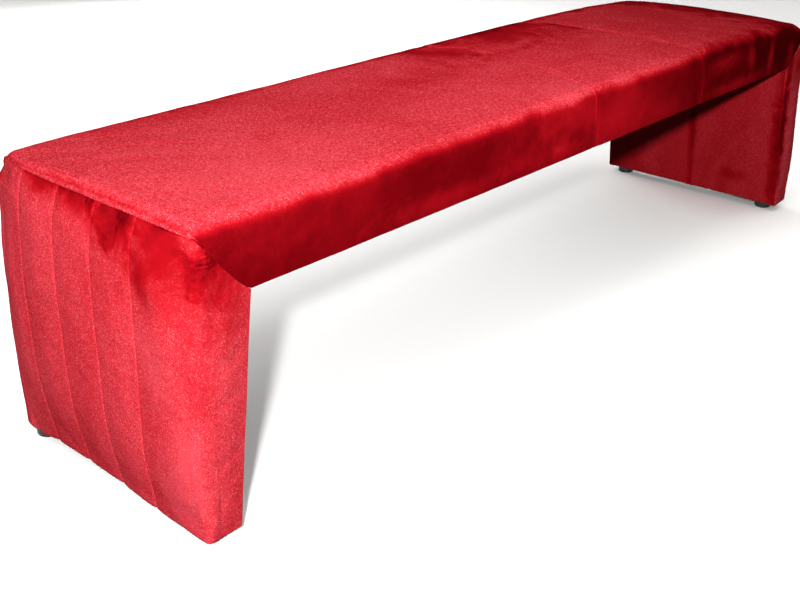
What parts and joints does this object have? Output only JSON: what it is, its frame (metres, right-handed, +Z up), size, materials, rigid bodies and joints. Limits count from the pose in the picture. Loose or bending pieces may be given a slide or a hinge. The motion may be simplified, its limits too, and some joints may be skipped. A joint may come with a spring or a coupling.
{
  "type": "upholstered bench",
  "caption": "Long backless bench in red velvet: a padded slab seat that turns down with a mitre into tapered padded end legs with upright channel seams, on low round black glides.",
  "frame": {"origin": "centre of the bounding box on the floor plane, at the undersides of the glides", "axes": "+X along the length of the seat, -Y is the front, +Z up"},
  "size_m": [1.854, 0.458, 0.46],
  "materials": {
    "red_velvet": "matte",
    "foam": "matte",
    "wadding": "matte",
    "beech": "matte",
    "hardboard": "matte",
    "jute_webbing": "matte",
    "hessian": "matte",
    "black_nonwoven": "matte",
    "zinc_steel": "satin",
    "black_plastic": "satin"
  },
  "bodies": {
    "root": {"seat_front_rail": "beech", "seat_back_rail": "beech", "seat_left_end_rail": "beech", "seat_right_end_rail": "beech", "seat_left_cross_rail": "beech", "seat_middle_cross_rail": "beech", "seat_right_cross_rail": "beech", "seat_corner_blocks": "beech", "seat_frame_screws": "zinc_steel", "seat_webbing": "jute_webbing", "seat_webbing_staples": "zinc_steel", "seat_hessian": "hessian", "seat_foam": "foam", "seat_wadding": "wadding", "seat_left_cover": "red_velvet", "seat_middle_cover": "red_velvet", "seat_right_cover": "red_velvet", "seat_dust_cover": "black_nonwoven", "seat_dust_cover_staples": "zinc_steel", "left_leg_front_post": "beech", "left_leg_rear_post": "beech", "left_leg_top_rail": "beech", "left_leg_bottom_rail": "beech", "left_leg_outer_board": "hardboard", "left_leg_inner_board": "hardboard", "left_leg_pad": "foam", "left_leg_inner_wadding": "wadding", "left_leg_channel_cover": "red_velvet", "left_leg_inner_front_cover": "red_velvet", "left_leg_inner_rear_cover": "red_velvet", "left_leg_bottom_cover": "black_nonwoven", "left_leg_glides": "black_plastic", "left_leg_glide_screws": "zinc_steel", "left_leg_bolts": "zinc_steel", "left_leg_washers": "zinc_steel", "left_leg_tee_nuts": "zinc_steel", "right_leg_front_post": "beech", "right_leg_rear_post": "beech", "right_leg_top_rail": "beech", "right_leg_bottom_rail": "beech", "right_leg_outer_board": "hardboard", "right_leg_inner_board": "hardboard", "right_leg_pad": "foam", "right_leg_inner_wadding": "wadding", "right_leg_channel_cover": "red_velvet", "right_leg_inner_front_cover": "red_velvet", "right_leg_inner_rear_cover": "red_velvet", "right_leg_bottom_cover": "black_nonwoven", "right_leg_glides": "black_plastic", "right_leg_glide_screws": "zinc_steel", "right_leg_bolts": "zinc_steel", "right_leg_washers": "zinc_steel", "right_leg_tee_nuts": "zinc_steel"}
  },
  "joints": []
}
